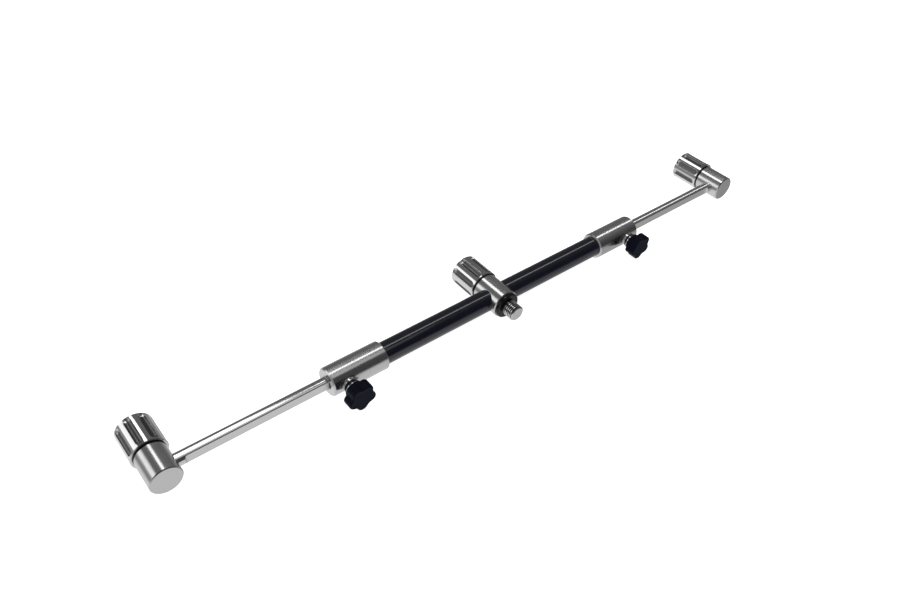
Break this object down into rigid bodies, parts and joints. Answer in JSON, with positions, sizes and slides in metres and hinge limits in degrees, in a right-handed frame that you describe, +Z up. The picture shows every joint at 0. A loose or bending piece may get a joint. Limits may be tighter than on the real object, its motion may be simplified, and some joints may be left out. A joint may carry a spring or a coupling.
{
  "type": "fishing rod buzz bar",
  "caption": "Adjustable bar that carries rod rests: a black tube with a hub and stud, sliding end bars locked by thumbscrews, and turning fluted collars.",
  "frame": {"origin": "centre of the bounding box at its lowest plane: the ground plane under the bar, below the hub; the hub axis crosses X within 1 mm of the origin", "axes": "+X along the bar, +Y the way the fluted collars open, +Z up; the bar lies on its side on its three collars"},
  "size_m": [0.4278, 0.0496, 0.0188],
  "materials": {
    "polished_steel": "mirror polished stainless steel",
    "satin_steel": "fine turned satin stainless steel",
    "bar_steel": "ground stainless bar, milled flat with cross grain",
    "turned_steel": "bright turned stainless steel",
    "thread_steel": "machine-cut thread",
    "bolt_steel": "plain stainless fastener",
    "tube_lacquer": "gloss black coating",
    "knob_plastic": "satin moulded black nylon",
    "rubber": "black nitrile rubber",
    "acetal": "natural acetal"
  },
  "bodies": {
    "centre": {"centre_tube": "tube_lacquer", "sleeve_left": "satin_steel", "sleeve_right": "satin_steel", "clamp_bush_left": "turned_steel", "clamp_bush_right": "turned_steel", "hub_body": "satin_steel", "hub_stud": "thread_steel", "stud_ring": "rubber", "collar_centre_o_ring": "rubber", "hub_bolt": "bolt_steel", "hub_washer": "bolt_steel"},
    "collar_centre": {"collar_centre": "polished_steel", "collar_centre_bush": "acetal"},
    "bar_left": {"inner_bar_left": "bar_steel", "glide_bush_left": "acetal", "stop_screw_left": "bolt_steel", "head_body_left": "satin_steel", "head_bolt_left": "bolt_steel", "head_washer_left": "bolt_steel", "collar_left_o_ring": "rubber"},
    "collar_left": {"collar_left": "polished_steel", "collar_left_bush": "acetal"},
    "pad_left": {"pressure_pad_left": "acetal"},
    "thumbscrew_left": {"thumb_screw_left": "turned_steel", "thumb_screw_o_ring_left": "rubber", "knob_left": "knob_plastic"},
    "bar_right": {"inner_bar_right": "bar_steel", "glide_bush_right": "acetal", "stop_screw_right": "bolt_steel", "head_body_right": "satin_steel", "head_bolt_right": "bolt_steel", "head_washer_right": "bolt_steel", "collar_right_o_ring": "rubber"},
    "collar_right": {"collar_right": "polished_steel", "collar_right_bush": "acetal"},
    "pad_right": {"pressure_pad_right": "acetal"},
    "thumbscrew_right": {"thumb_screw_right": "turned_steel", "thumb_screw_o_ring_right": "rubber", "knob_right": "knob_plastic"}
  },
  "joints": [
    {"name": "bar_left_slide", "type": "slide", "parent": "centre", "child": "bar_left", "axis": [1, 0, 0], "range_m": [-0.00165, 0.0808]},
    {"name": "collar_left_spin", "type": "hinge", "parent": "bar_left", "child": "collar_left", "pos_m": [-0.2037, 0.0154, 0.0094], "axis": [0, 1, 0], "continuous": true},
    {"name": "pad_left_travel", "type": "slide", "parent": "centre", "child": "pad_left", "axis": [0, -1, 0], "range_m": [-0.0006, 0.0014]},
    {"name": "thumbscrew_left_turn", "type": "hinge", "parent": "pad_left", "child": "thumbscrew_left", "pos_m": [-0.1055, -0.0166, 0.0094], "axis": [0, -1, 0], "range_deg": [-270.1, 630.1]},
    {"name": "bar_right_slide", "type": "slide", "parent": "centre", "child": "bar_right", "axis": [-1, 0, 0], "range_m": [0, 0.0824]},
    {"name": "collar_right_spin", "type": "hinge", "parent": "bar_right", "child": "collar_right", "pos_m": [0.2053, 0.0154, 0.0094], "axis": [0, 1, 0], "continuous": true},
    {"name": "pad_right_travel", "type": "slide", "parent": "centre", "child": "pad_right", "axis": [0, -1, 0], "range_m": [0, 0.002]},
    {"name": "thumbscrew_right_turn", "type": "hinge", "parent": "pad_right", "child": "thumbscrew_right", "pos_m": [0.1055, -0.0166, 0.0094], "axis": [0, -1, 0], "range_deg": [-0.1, 900.1]},
    {"name": "collar_centre_spin", "type": "hinge", "parent": "centre", "child": "collar_centre", "pos_m": [0, 0.0154, 0.0094], "axis": [0, 1, 0], "continuous": true}
  ],
  "couplings": [
    {"joint": "thumbscrew_left_turn", "follows": "pad_left_travel", "rad_per_m": 7854},
    {"joint": "thumbscrew_right_turn", "follows": "pad_right_travel", "rad_per_m": 7854}
  ]
}
